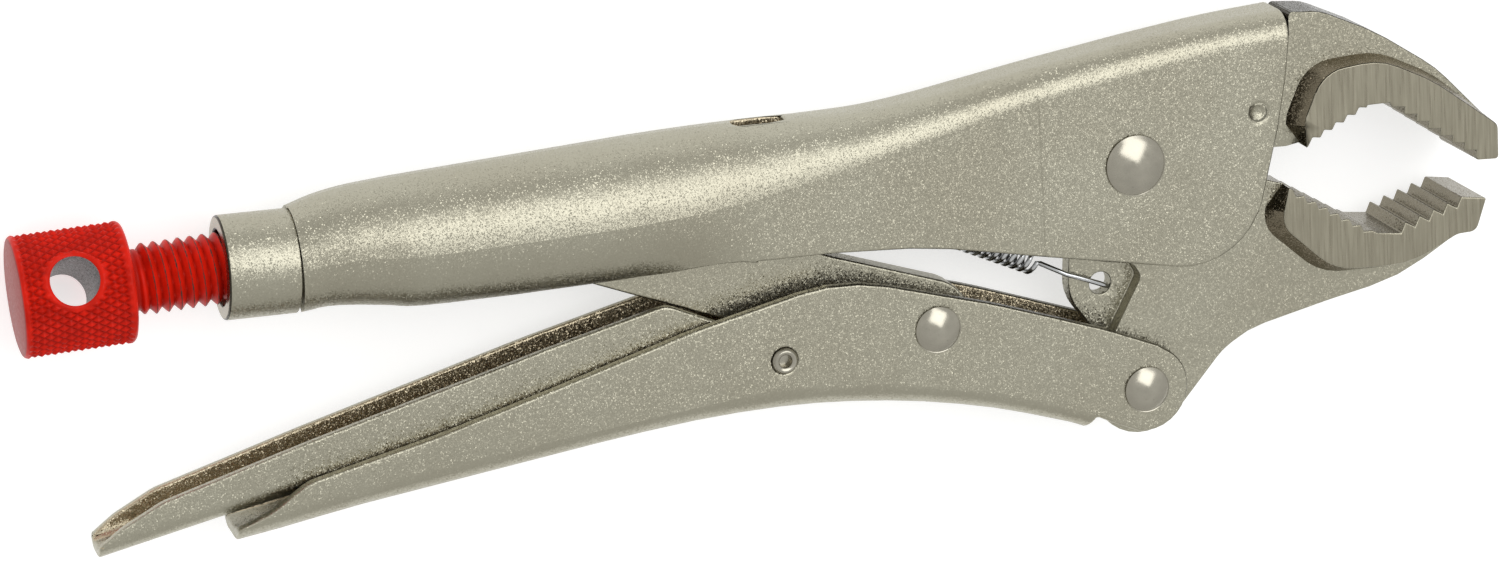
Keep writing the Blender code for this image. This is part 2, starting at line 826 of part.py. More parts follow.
def build():
    plated = metal("nickel_plated_sheet", (0.53, 0.50, 0.43), 0.38)
    forged = metal("nickel_plated_forging", (0.52, 0.49, 0.42), 0.40)
    bright = metal("bright_rivet", (0.62, 0.60, 0.55), 0.22)
    spring_steel = metal("zinc_spring_wire", (0.55, 0.56, 0.58), 0.25)
    red = metal("red_enamel", (0.70, 0.03, 0.02), 0.35, 0.0)

    base = pivot_empty("handle_body", (0.0, 0.0))
    jaw = pivot_empty("jaw_axis", JAW_PIVOT, base["empty"])
    lever = pivot_empty("lever_axis", LEVER_PIVOT, jaw["empty"], JAW_PIVOT)
    link = pivot_empty("link_axis", LINK_PIVOT, lever["empty"], LEVER_PIVOT)
    release = pivot_empty("release_axis", RELEASE_PIVOT, lever["empty"], LEVER_PIVOT)
    slide = pivot_empty("screw_slide", (0.0, 0.0), base["empty"])
    spin = pivot_empty("screw_axis", (0.0, 0.0), slide["empty"])

    made = [
        handle_shell(base, plated),
        threaded_neck(base, plated),
        fixed_jaw(base, forged),
        rivet("jaw_pivot_rivet", JAW_PIVOT, JAW_RIVET, JAW_GRIP, base, bright),
        movable_jaw(jaw, forged),
        return_spring(base, spring_steel),
        main_lever(lever, plated),
        rivet("lever_pivot_rivet", LEVER_PIVOT, LEVER_RIVET, LEVER_GRIP, lever, bright),
        rivet("link_rivet", LINK_PIVOT, LINK_RIVET, LINK_GRIP, lever, bright),
        release_pin(lever, bright),
        toggle_link(link, forged),
        release_lever(release, plated),
        screw_nose(slide, spring_steel),
        thumb_screw(spin, red),
    ]
    for obj in made:
        obj.data.shade_smooth()
        obj.data.set_sharp_from_angle(angle=math.radians(35))
    lay_on_bench(base, [obj.name for obj in made])


clear_scene()
PARTS = new_collection("locking_pliers")
CUTTERS = new_collection("cutters")
build()
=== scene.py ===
"""Curved jaw locking pliers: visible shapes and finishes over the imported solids.

Sizes named in millimetres are in the tool frame: its origin is where the adjusting screw enters the
neck, X runs along the screw towards the jaws, Y towards the fixed handle, Z across the tool.
"""

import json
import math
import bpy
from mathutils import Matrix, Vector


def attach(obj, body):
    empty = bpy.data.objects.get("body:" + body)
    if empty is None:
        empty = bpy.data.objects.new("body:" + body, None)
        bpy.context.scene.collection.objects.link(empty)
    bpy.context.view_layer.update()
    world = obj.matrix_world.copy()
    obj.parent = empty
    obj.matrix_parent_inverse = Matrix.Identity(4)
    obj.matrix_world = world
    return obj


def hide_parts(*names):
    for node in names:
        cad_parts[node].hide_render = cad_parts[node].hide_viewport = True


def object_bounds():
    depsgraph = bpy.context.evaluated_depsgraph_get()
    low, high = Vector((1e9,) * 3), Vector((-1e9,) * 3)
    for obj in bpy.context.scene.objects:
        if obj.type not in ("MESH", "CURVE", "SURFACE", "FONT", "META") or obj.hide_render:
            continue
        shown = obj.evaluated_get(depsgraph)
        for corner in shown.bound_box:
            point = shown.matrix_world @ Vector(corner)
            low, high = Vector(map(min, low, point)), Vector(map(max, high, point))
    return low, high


bl_info = {
    "name": "Locking Pliers",
    "version": (1, 0, 0),
    "blender": (4, 5, 0),
    "location": "3D View > Sidebar > Pliers",
    "description": "Builds the visible pieces and finishes of curved jaw locking pliers",
    "category": "Add Mesh",
}

import bmesh
import bpy
from bpy.props import FloatProperty, FloatVectorProperty, IntProperty, PointerProperty
from mathutils import Matrix, Vector
from mathutils.bvhtree import BVHTree

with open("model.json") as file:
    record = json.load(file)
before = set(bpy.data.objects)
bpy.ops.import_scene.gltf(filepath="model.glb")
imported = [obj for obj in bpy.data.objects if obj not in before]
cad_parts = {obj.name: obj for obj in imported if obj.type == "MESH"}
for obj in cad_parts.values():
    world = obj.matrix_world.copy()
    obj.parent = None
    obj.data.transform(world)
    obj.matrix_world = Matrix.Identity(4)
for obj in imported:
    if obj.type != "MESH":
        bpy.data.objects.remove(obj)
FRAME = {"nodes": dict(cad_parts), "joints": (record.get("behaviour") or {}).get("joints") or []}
CAD_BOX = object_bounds()
JOINTS = {joint["name"]: joint for joint in FRAME["joints"]}
ORIGIN = Vector(JOINTS["screw_turn"]["pos_m"])

MM = 0.001


def in_tool(joint):
    """A joint's place in the tool frame, in millimetres."""
    return (Vector(JOINTS[joint]["pos_m"]) - ORIGIN) / MM


JAW_PIVOT = in_tool("jaw_hinge")
LEVER_PIVOT = in_tool("lever_hinge")
LINK_PIVOT = in_tool("link_hinge")
RELEASE_PIVOT = in_tool("release_hinge")

# Knob, screw and neck, as the solids have them
KNOB_BACK = -31.3
KNOB_FRONT = -14.1
KNOB_RADIUS = 9.4
KNOB_HOLE_X = -23.1
KNOB_HOLE_RADIUS = 3.75
KNOB_HOLE_TURN = 24.7
SCREW_RADIUS = 5.5
SCREW_END = 36.0
NOSE_START = 36.3
NOSE_END = 40.3
NECK_RADIUS = 8.07
NECK_LENGTH = 11.2
NECK_BORE = 5.85
NECK_DROOP = 2.4
NECK_ROOM = 3.8
SPIGOT_RADIUS = NECK_RADIUS - 1.9

# Rivets: head radius, head height, shank radius, and half the grip
JAW_RIVET = (5.0, 1.5, 3.2, 6.6)
LEVER_RIVET = (3.8, 1.3, 2.4, 6.35)
LINK_RIVET = (3.8, 1.3, 2.2, 6.8)
PIN_SEAT = 7.3
PIN_RADIUS = 1.75
PIN_BORE = 0.9

# Press marks across the side walls: X, and the least distance from the middle plane
HANDLE_PRESS_LINE = (131.0, 6.2)
LEVER_PRESS_LINE = (133.2, 6.0)

# Rounding starts at these X, so that edges hidden inside the handle stay as they are
HANDLE_ROUNDED_FROM = 14.0
FIXED_JAW_ROUNDED_FROM = 176.5
MOVABLE_JAW_ROUNDED_FROM = 100.0

# Jaw bosses, measured from the middle plane
BOSS_FOOT = 6.0
BOSS_SKIRT_TOP = 6.85
JAW_EDGE_SHARE = 0.55

SHARP = math.radians(38)


# ---------------------------------------------------------------- settings

class PliersSizes(bpy.types.PropertyGroup):
    knurl_rows: IntProperty(
        name="Knurl rows", description="Ridges of each hand round the knob", default=40, min=12,
    )
    knurl_depth: FloatProperty(
        name="Knurl depth", description="From ridge to groove", default=0.62 * MM,
        unit="LENGTH", precision=5,
    )
    knurl_pitch: FloatProperty(
        name="Knurl pitch", description="From ridge to ridge along the knob", default=2.05 * MM,
        unit="LENGTH", precision=5,
    )
    thread_pitch: FloatProperty(
        name="Thread pitch", description="From crest to crest", default=1.88 * MM,
        unit="LENGTH", precision=5,
    )
    thread_depth: FloatProperty(
        name="Thread depth", description="From crest to root", default=0.95 * MM,
        unit="LENGTH", precision=5,
    )
    spring_turns: IntProperty(
        name="Spring turns", description="Turns of the return spring's coil", default=22, min=5,
    )
    spring_wire: FloatProperty(
        name="Spring wire", description="Radius of the return spring's wire", default=0.42 * MM,
        unit="LENGTH", precision=5,
    )
    edge: FloatProperty(
        name="Tumbled edge", description="Rounding of the sheet's cut edges", default=0.42 * MM,
        unit="LENGTH", precision=5,
    )


class PliersFinish(bpy.types.PropertyGroup):
    nickel: FloatVectorProperty(
        name="Nickel", description="Colour of the nickel plate", subtype="COLOR",
        default=(0.375, 0.358, 0.285), min=0.0, max=1.0,
    )
    bright: FloatVectorProperty(
        name="Bright metal", description="Colour of the rivets", subtype="COLOR",
        default=(0.40, 0.38, 0.32), min=0.0, max=1.0,
    )
    zinc: FloatVectorProperty(
        name="Zinc", description="Colour of the spring wire", subtype="COLOR",
        default=(0.56, 0.57, 0.58), min=0.0, max=1.0,
    )
    enamel: FloatVectorProperty(
        name="Enamel", description="Colour of the knob's enamel", subtype="COLOR",
        default=(0.50, 0.010, 0.003), min=0.0, max=1.0,
    )
    grain: FloatProperty(
        name="Blast grain", description="Size of the blasted surface's facets",
        default=0.16 * MM, unit="LENGTH", precision=5,
    )


class PliersStage(bpy.types.PropertyGroup):
    key_power: FloatProperty(
        name="Key light", description="Power of the large soft light", default=4.2, unit="POWER",
    )
    sky: FloatProperty(
        name="Sky", description="Brightness of the surroundings", default=1.0, min=0.0,
    )


# ---------------------------------------------------------------- shapes

def to_row(mesh):
    """Move a mesh from the tool frame, in millimetres, to its place in the row frame."""
    mesh.transform(Matrix.Translation(ORIGIN) @ Matrix.Scale(MM, 4))


def linked(name, mesh):
    """A new object in the scene for a mesh, a curve, a light or a camera."""
    made = bpy.data.objects.new(name, mesh)
    bpy.context.scene.collection.objects.link(made)
    return made


def plain_mesh(obj, name):
    """The evaluated object as a new plain mesh object; the old one is removed."""
    bpy.context.view_layer.update()
    graph = bpy.context.evaluated_depsgraph_get()
    mesh = bpy.data.meshes.new_from_object(obj.evaluated_get(graph))
    mesh.name = name
    bpy.data.objects.remove(obj, do_unlink=True)
    return linked(name, mesh)


def smooth(obj, degrees=35.0):
    """Smooth shading, with edges steeper than the given angle kept sharp."""
    obj.data.shade_smooth()
    obj.data.set_sharp_from_angle(angle=math.radians(degrees))


def turned(name, profile, axis="Z", place=(0.0, 0.0), segments=96, tilt=0.0):
    """A turned solid in the tool frame; profile points are (distance along the axis, radius)."""
    bm = bmesh.new()
    rings = []
    for along, radius in profile:
        if radius == 0.0:
            rings.append([bm.verts.new((0.0, 0.0, along))])
            continue
        ring = []
        for i in range(segments):
            angle = 2 * math.pi * i / segments
            ring.append(bm.verts.new((radius * math.cos(angle), radius * math.sin(angle), along)))
        rings.append(ring)
    closed = profile[0][1] != 0.0
    pairs = list(zip(rings, rings[1:])) + ([(rings[-1], rings[0])] if closed else [])
    for low, high in pairs:
        for i in range(segments):
            k = (i + 1) % segments
            corners = [
                low[i % len(low)], low[k % len(low)], high[k % len(high)], high[i % len(high)],
            ]
            bm.faces.new(list(dict.fromkeys(corners)))
    bmesh.ops.recalc_face_normals(bm, faces=bm.faces)
    mesh = bpy.data.meshes.new(name)
    bm.to_mesh(mesh)
    bm.free()
    if axis == "X":
        mesh.transform(Matrix.Rotation(math.pi / 2, 4, "Y"))
    mesh.transform(Matrix.Rotation(math.radians(tilt), 4, "Z"))
    mesh.transform(Matrix.Translation((place[0], place[1], 0.0)))
    to_row(mesh)
    made = linked(name, mesh)
    smooth(made)
    return made


def rounded_profile(corners, steps=5):
    """Profile points with each (along, radius, rounding) corner drawn as an arc."""
    found = []
    for i, corner in enumerate(corners):
        here = Vector(corner[:2])
        size = corner[2] if len(corner) > 2 else 0.0
        if size == 0.0:
            found.append(tuple(here))
            continue
        back = (Vector(corners[i - 1][:2]) - here).normalized()
        ahead = (Vector(corners[(i + 1) % len(corners)][:2]) - here).normalized()
        for k in range(steps + 1):
            t = k / steps
            start, end = here + back * size, here + ahead * size
            found.append(tuple(start.lerp(here, t).lerp(here.lerp(end, t), t)))
    return found


def hold_to(mesh, solid, reach):
    """Put back any point that rounding has thrown further than reach, and split into triangles."""
    shape = bmesh.new()
    shape.from_mesh(solid)
    tree = BVHTree.FromBMesh(shape)
    shape.free()
    for vert in mesh.vertices:
        place, _, _, distance = tree.find_nearest(vert.co)
        past_box = any(
            not low <= at <= high for low, at, high in zip(CAD_BOX[0], vert.co, CAD_BOX[1])
        )
        if distance > reach or past_box:
            vert.co = place
    bm = bmesh.new()
    bm.from_mesh(mesh)
    bmesh.ops.triangulate(bm, faces=bm.faces)
    bm.to_mesh(mesh)
    bm.free()


def mark_edges(bm, rounded_from):
    """Weight the sharp edges for rounding, but only those further forward than rounded_from."""
    weight = bm.edges.layers.float.new("bevel_weight_edge")
    for edge in bm.edges:
        middle = (edge.verts[0].co.x + edge.verts[1].co.x) / 2
        if edge.calc_face_angle(0.0) > SHARP and middle > ORIGIN.x + rounded_from * MM:
            edge[weight] = 1.0


def from_solid(node, name, edge, bosses=False, line=None, weld=1e-4, rounded_from=-100.0):
    """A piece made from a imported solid: merged, its flats cleaned, and its edges rounded."""
    mesh = FRAME["nodes"][node].data.copy()
    mesh.name = name
    mesh.materials.clear()
    bm = bmesh.new()
    bm.from_mesh(mesh)
    bmesh.ops.remove_doubles(bm, verts=bm.verts, dist=weld)
    bmesh.ops.dissolve_limit(
        bm, angle_limit=math.radians(0.6), verts=bm.verts, edges=bm.edges,
    )
    if line:
        press_line(bm, *line)
    mark_edges(bm, rounded_from)
    bm.to_mesh(mesh)
    bm.free()
    skirts = boss_skirts(mesh) if bosses else None
    made = linked(name, mesh)
    bevel = made.modifiers.new("tumbled edge", "BEVEL")
    bevel.limit_method = "WEIGHT"
    bevel.width = edge
    bevel.segments = 3
    bevel.use_clamp_overlap = False
    made = plain_mesh(made, name)
    hold_to(made.data, FRAME["nodes"][node].data, edge * 0.45)
    if skirts:
        add_skirts(made.data, *skirts)
    smooth(made, 32)
    level = made.modifiers.new("flat faces stay flat", "WEIGHTED_NORMAL")
    level.keep_sharp = True
    return plain_mesh(made, name)


def line_inside(obj):
    """Give the faces that look towards the tool's middle plane a coarser grain and a warmer brown
    tone, which is painted shade inside the channel.
    """
    obj.data.materials.append(finish("inside_shade"))
    for face in obj.data.polygons:
        if (face.center.z - ORIGIN.z) * face.normal.z < 0 and abs(face.normal.z) > 0.25:
            face.material_index = 1


def darken_rim(obj, towards, least_x):
    """Give the cut rim that faces one way, and its rounding, a darker colour, which is painted
    shade along the edge.
    """
    obj.data.materials.append(finish("rim_shade"))
    index = len(obj.data.materials) - 1
    for face in obj.data.polygons:
        facing = face.normal.x * towards[0] + face.normal.y * towards[1]
        if face.center.x > ORIGIN.x + least_x * MM and facing > 0.35 and abs(face.normal.z) < 0.9:
            face.material_index = index


def boss_skirts(mesh):
    """Wedges that slope a forging's boss walls down to the plate: (corner points, edges)."""
    bm = bmesh.new()
    bm.from_mesh(mesh)
    tree = BVHTree.FromBMesh(bm)
    feet = {}
    for vert in bm.verts:
        if abs(vert.co.z - ORIGIN.z) > BOSS_FOOT * MM:
            continue
        upright = [face for face in vert.link_faces if abs(face.normal.z) < 0.2]
        walls = [
            face for face in upright
            if min(abs(v.co.z - ORIGIN.z) for v in face.verts) > (BOSS_FOOT - 2.5) * MM
            and max(abs(v.co.z - ORIGIN.z) for v in face.verts) > BOSS_FOOT * MM
        ]
        if not walls:
            continue
        out = sum((face.normal for face in walls), Vector()).normalized()
        move = out * (0.9 + 1.3 * max(0.0, -out.x)) * MM
        if len(walls) < len(upright):
            paths = [edge.other_vert(vert).co - vert.co for edge in vert.link_edges]
            paths = [path for path in paths if abs(path.z) < 1e-6 and path.dot(out) > 0]
            best = max(paths, key=lambda path: path.normalized().dot(out), default=None)
            near = best is not None and best.normalized().dot(out) > 0.3
            move = best.normalized() * min(move.length, best.length * 0.9) if near else out * 1e-5
        side = math.copysign(1.0, vert.co.z - ORIGIN.z)
        deep = vert.co - Vector((0.0, 0.0, side * 1.2 * MM))
        for _ in range(12):
            place, normal, _, _ = tree.find_nearest(deep + move)
            if (deep + move - place).dot(normal) < -0.2 * MM:
                break
            move *= 0.7
        top = Vector((vert.co.x, vert.co.y, ORIGIN.z + side * BOSS_SKIRT_TOP * MM))
        sunk = vert.co - Vector((0.0, 0.0, side * 0.05 * MM))
        feet[vert.index] = (top, sunk + move, sunk)
    steps = [
        tuple(v.index for v in edge.verts) for edge in bm.edges
        if all(v.index in feet for v in edge.verts)
        and any(abs(face.normal.z) < 0.2 for face in edge.link_faces)
    ]
    bm.free()
    return feet, steps


def add_skirts(mesh, feet, steps):
    """Add the wedges to a mesh as closed runs, with a face at each open end."""
    bm = bmesh.new()
    bm.from_mesh(mesh)
    made = {index: [bm.verts.new(place) for place in places] for index, places in feet.items()}
    fresh = []
    for first, second in steps:
        for k in range(3):
            fresh.append(bm.faces.new((
                made[first][k], made[second][k], made[second][(k + 1) % 3],
                made[first][(k + 1) % 3],
            )))
    for index in made:
        if sum(index in step for step in steps) == 1:
            fresh.append(bm.faces.new(made[index]))
    bmesh.ops.recalc_face_normals(bm, faces=fresh)
    for face in fresh:
        face.smooth = True
    bm.to_mesh(mesh)
    bm.free()


def press_line(bm, x, least):
    """A shallow groove left by the press across a sheet's side walls at x."""
    for offset in (-0.3, 0.0, 0.3):
        bmesh.ops.bisect_plane(
            bm, geom=bm.verts[:] + bm.edges[:] + bm.faces[:], dist=1e-7,
            plane_co=(ORIGIN.x + (x + offset) * MM, 0.0, 0.0), plane_no=(1.0, 0.0, 0.0),
        )
    for vert in bm.verts:
        across = (vert.co.z - ORIGIN.z) / MM
        if abs(vert.co.x - ORIGIN.x - x * MM) < 1e-6 and abs(across) > least:
            vert.co.z -= math.copysign(0.12 * MM, across)


def give(obj, material, body, node=None):
    """Put a finished piece on its body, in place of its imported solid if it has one."""
    obj.data.materials.clear()
    obj.data.materials.append(material)
    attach(obj, body)
    if node:
        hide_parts(node)


# ---------------------------------------------------------------- node trees

class Number:
    """A number in a node tree, so that a rule can be written as plain arithmetic."""

    def __init__(self, tree, value):
        self.tree = tree
        self.value = value

    def plug(self, socket):
        if isinstance(self.value, (int, float)):
            socket.default_value = self.value
        else:
            self.tree.links.new(self.value, socket)

    def do(self, operation, *others, clamp=False):
        node = self.tree.nodes.new("ShaderNodeMath")
        node.operation = operation
        node.use_clamp = clamp
        for socket, number in zip(node.inputs, (self, *others)):
            number = number if isinstance(number, Number) else Number(self.tree, number)
            number.plug(socket)
        return Number(self.tree, node.outputs[0])

    def __add__(self, other):
        return self.do("ADD", other)

    def __sub__(self, other):
        return self.do("SUBTRACT", other)

    def __mul__(self, other):
        return self.do("MULTIPLY", other)

    def __truediv__(self, other):
        return self.do("DIVIDE", other)

    def ramp(self, low, high):
        """0 below low, 1 above high, and straight between."""
        return ((self - low) / (high - low)).do("MULTIPLY", 1.0, clamp=True)

    def ridge(self):
        """1 half way between whole numbers, and 0 on them."""
        return (self.do("FRACT") - 0.5).do("ABSOLUTE").do("MULTIPLY_ADD", -2.0, 1.0)


def new_tree(name, inputs):
    """A geometry tree with named float inputs: the tree, its entry node, the inputs by name."""
    tree = bpy.data.node_groups.new(name, "GeometryNodeTree")
    tree.interface.new_socket("Geometry", in_out="INPUT", socket_type="NodeSocketGeometry")
    for label in inputs:
        tree.interface.new_socket(label, in_out="INPUT", socket_type="NodeSocketFloat")
    tree.interface.new_socket("Material", in_out="INPUT", socket_type="NodeSocketMaterial")
    tree.interface.new_socket("Geometry", in_out="OUTPUT", socket_type="NodeSocketGeometry")
    entry = tree.nodes.new("NodeGroupInput")
    return tree, entry, {label: Number(tree, entry.outputs[label]) for label in inputs}


def close_tree(tree, entry, geometry):
    """End a tree with Realize Instances and Set Material."""
    realize = tree.nodes.new("GeometryNodeRealizeInstances")
    paint = tree.nodes.new("GeometryNodeSetMaterial")
    leave = tree.nodes.new("NodeGroupOutput")
    tree.links.new(geometry, realize.inputs[0])
    tree.links.new(realize.outputs[0], paint.inputs["Geometry"])
    tree.links.new(entry.outputs["Material"], paint.inputs["Material"])
    tree.links.new(paint.outputs[0], leave.inputs[0])


def grow(obj, tree, values, material, name):
    """Run a geometry tree on an object and keep the result as a plain mesh."""
    step = obj.modifiers.new(tree.name, "NODES")
    step.node_group = tree
    for item in tree.interface.items_tree:
        if item.item_type == "SOCKET" and item.in_out == "INPUT":
            if item.name in values:
                step[item.identifier] = float(values[item.name])
            elif item.name == "Material":
                step[item.identifier] = material
    obj.update_tag()
    return plain_mesh(obj, name)


def sleeve_tree(name, inputs, rows, columns, radius_rule):
    """A tube along X whose radius is a rule of (x, turn), with its height kept as relief."""
    tree, entry, value = new_tree(name, ["Start", "End", *inputs])
    grid = tree.nodes.new("GeometryNodeMeshGrid")
    grid.inputs["Size X"].default_value = 1.0
    grid.inputs["Size Y"].default_value = 1.0
    grid.inputs["Vertices X"].default_value = rows
    grid.inputs["Vertices Y"].default_value = columns + 1
    position = tree.nodes.new("GeometryNodeInputPosition")
    split = tree.nodes.new("ShaderNodeSeparateXYZ")
    tree.links.new(position.outputs[0], split.inputs[0])
    share = Number(tree, split.outputs["X"]) + 0.5
    turn = Number(tree, split.outputs["Y"]) + 0.5
    x = value["Start"] + (value["End"] - value["Start"]) * share
    radius, relief = radius_rule(x, turn, value)
    angle = turn * (2 * math.pi)
    join = tree.nodes.new("ShaderNodeCombineXYZ")
    x.plug(join.inputs["X"])
    (radius * angle.do("COSINE")).plug(join.inputs["Y"])
    (radius * angle.do("SINE")).plug(join.inputs["Z"])
    store = tree.nodes.new("GeometryNodeStoreNamedAttribute")
    store.data_type = "FLOAT"
    store.inputs["Name"].default_value = "relief"
    tree.links.new(grid.outputs["Mesh"], store.inputs["Geometry"])
    relief.plug([s for s in store.inputs if s.name == "Value" and s.enabled][0])
    place = tree.nodes.new("GeometryNodeSetPosition")
    tree.links.new(store.outputs[0], place.inputs["Geometry"])
    tree.links.new(join.outputs[0], place.inputs["Position"])
    merge = tree.nodes.new("GeometryNodeMergeByDistance")
    merge.inputs["Distance"].default_value = 1e-6
    tree.links.new(place.outputs[0], merge.inputs["Geometry"])
    close_tree(tree, entry, merge.outputs["Geometry"])
    return tree


def close_ends(mesh):
    """Fill a tube's two open ends, and turn all of its faces outwards."""
    bm = bmesh.new()
    bm.from_mesh(mesh)
    rim = [edge for edge in bm.edges if edge.is_boundary]
    bmesh.ops.holes_fill(bm, edges=rim, sides=0)
    bmesh.ops.recalc_face_normals(bm, faces=bm.faces)
    bm.to_mesh(mesh)
    bm.free()


# ---------------------------------------------------------------- finishes

def shader(name):
    """A new material, its node tree and its Principled shader."""
    material = bpy.data.materials.new(name)
    material.use_nodes = True
    tree = material.node_tree
    return material, tree, tree.nodes["Principled BSDF"]


def noise(tree, vector, scale, detail=2.0, roughness=0.55):
    """Cloudy noise over a vector."""
    node = tree.nodes.new("ShaderNodeTexNoise")
    node.inputs["Scale"].default_value = scale
    node.inputs["Detail"].default_value = detail
    node.inputs["Roughness"].default_value = roughness
    tree.links.new(vector, node.inputs["Vector"])
    return node


def span(tree, value, low, high, to_low, to_high):
    """A value moved from one range to another, held at the ends."""
    node = tree.nodes.new("ShaderNodeMapRange")
    node.inputs["From Min"].default_value = low
    node.inputs["From Max"].default_value = high
    node.inputs["To Min"].default_value = to_low
    node.inputs["To Max"].default_value = to_high
    tree.links.new(value, node.inputs["Value"])
    return node.outputs["Result"]


def blend(tree, factor, first, second):
    """A colour between two; each is a plain colour or a socket."""
    node = tree.nodes.new("ShaderNodeMix")
    node.data_type = "RGBA"
    for label, colour in (("A", first), ("B", second)):
        socket = [s for s in node.inputs if s.name == label and s.type == "RGBA"][0]
        if isinstance(colour, bpy.types.NodeSocket):
            tree.links.new(colour, socket)
        else:
            socket.default_value = (*colour, 1.0)
    tree.links.new(factor, node.inputs["Factor"])
    return [s for s in node.outputs if s.type == "RGBA"][0]


def bump(tree, height, distance, strength=1.0, normal=None):
    """A normal tilted by a height, on top of another normal if one is given."""
    node = tree.nodes.new("ShaderNodeBump")
    node.inputs["Distance"].default_value = distance
    node.inputs["Strength"].default_value = strength
    tree.links.new(height, node.inputs["Height"])
    if normal:
        tree.links.new(normal, node.inputs["Normal"])
    return node.outputs["Normal"]


def object_place(tree, stretch=(1.0, 1.0, 1.0)):
    """The point on the piece, in metres, stretched along the axes."""
    place = tree.nodes.new("ShaderNodeTexCoord")
    mapping = tree.nodes.new("ShaderNodeMapping")
    mapping.inputs["Scale"].default_value = stretch
    tree.links.new(place.outputs["Object"], mapping.inputs["Vector"])
    return mapping.outputs["Vector"]


def vector_math(tree, operation, *inputs):
    """The result of a vector operation on plain triples or sockets."""
    node = tree.nodes.new("ShaderNodeVectorMath")
    node.operation = operation
    for socket, value in zip(node.inputs, inputs):
        if isinstance(value, bpy.types.NodeSocket):
            tree.links.new(value, socket)
        else:
            socket.default_value = value
    return node.outputs["Vector"]


def tinted(colour, gain, warm=0.0):
    """A colour made brighter by gain and shifted from blue to red by warm."""
    return (colour[0] * gain * (1 + warm), colour[1] * gain, colour[2] * gain * (1 - warm))


def blasted_metal(name, colour, grain, tilt=1.0, rough=(0.28, 0.38)):
    """Nickel over a blasted surface: fine tilted facets, a soft cloud of tone and few stains."""
    material, tree, surface = shader(name)
    place = object_place(tree)
    facets = tree.nodes.new("ShaderNodeTexVoronoi")
    facets.inputs["Scale"].default_value = 1.0 / grain
    tree.links.new(place, facets.inputs["Vector"])
    cells = tree.nodes.new("ShaderNodeSeparateColor")
    tree.links.new(facets.outputs["Color"], cells.inputs[0])
    steep = Number(tree, cells.outputs[2]).do("POWER", 2.2) * tilt + 0.08
    lean = vector_math(tree, "SUBTRACT", facets.outputs["Color"], (0.5, 0.5, 0.5))
    lean = vector_math(tree, "MULTIPLY", lean, steep.value)
    pits = noise(tree, place, 0.9 / grain, 2.0, 0.6)
    waves = noise(tree, place, 230.0, 2.0)
    rolled = bump(tree, waves.outputs["Fac"], 0.06 * MM, 0.3)
    rolled = bump(tree, pits.outputs["Fac"], 0.02 * MM, 0.6, rolled)
    normal = vector_math(tree, "NORMALIZE", vector_math(tree, "ADD", rolled, lean))
    tree.links.new(normal, surface.inputs["Normal"])
    clouds = noise(tree, place, 45.0, 3.0)
    tone = blend(
        tree, span(tree, clouds.outputs["Fac"], 0.3, 0.7, 0.0, 1.0),
        tinted(colour, 0.93, 0.01), tinted(colour, 1.05, -0.01),
    )
    tone = blend(tree, span(tree, cells.outputs[0], 0.0, 1.0, 0.0, 0.25), tone,
                 tinted(colour, 1.2))
    stains = noise(tree, place, 160.0, 4.0, 0.7)
    tone = blend(tree, span(tree, stains.outputs["Fac"], 0.70, 0.78, 0.0, 0.5), tone,
                 tinted(colour, 0.35))
    tree.links.new(tone, surface.inputs["Base Color"])
    tree.links.new(span(tree, cells.outputs[1], 0.0, 1.0, *rough), surface.inputs["Roughness"])
    surface.inputs["Metallic"].default_value = 1.0
    return material


def ground_metal(name, colour, stretch, rough=(0.24, 0.40), depth=0.02):
    """Plated metal with the fine lines of a grinding belt; stretch is short along the lines."""
    material, tree, surface = shader(name)
    place = object_place(tree, stretch)
    lines = noise(tree, place, 2600.0, 3.0, 0.6)
    tone = blend(
        tree, span(tree, lines.outputs["Fac"], 0.3, 0.7, 0.0, 1.0),
        tinted(colour, 0.82, 0.02), tinted(colour, 1.1),
    )
    tree.links.new(tone, surface.inputs["Base Color"])
    tree.links.new(
        span(tree, lines.outputs["Fac"], 0.3, 0.7, *rough), surface.inputs["Roughness"],
    )
    tree.links.new(bump(tree, lines.outputs["Fac"], depth * MM, 1.0), surface.inputs["Normal"])
    surface.inputs["Metallic"].default_value = 1.0
    return material


def bright_metal(name, colour, rough=(0.14, 0.26)):
    """Smooth plate with faint clouds and a few dull specks."""
    material, tree, surface = shader(name)
    place = object_place(tree)
    clouds = noise(tree, place, 420.0, 3.0)
    specks = noise(tree, place, 2600.0, 2.0)
    tone = blend(
        tree, span(tree, clouds.outputs["Fac"], 0.3, 0.7, 0.0, 1.0),
        tinted(colour, 0.90), tinted(colour, 1.05),
    )
    tone = blend(tree, span(tree, specks.outputs["Fac"], 0.68, 0.74, 0.0, 0.6), tone,
                 tinted(colour, 0.55))
    tree.links.new(tone, surface.inputs["Base Color"])
    tree.links.new(
        span(tree, clouds.outputs["Fac"], 0.3, 0.7, *rough), surface.inputs["Roughness"],
    )
    tree.links.new(bump(tree, clouds.outputs["Fac"], 0.03 * MM, 0.5), surface.inputs["Normal"])
    surface.inputs["Metallic"].default_value = 1.0
    return material


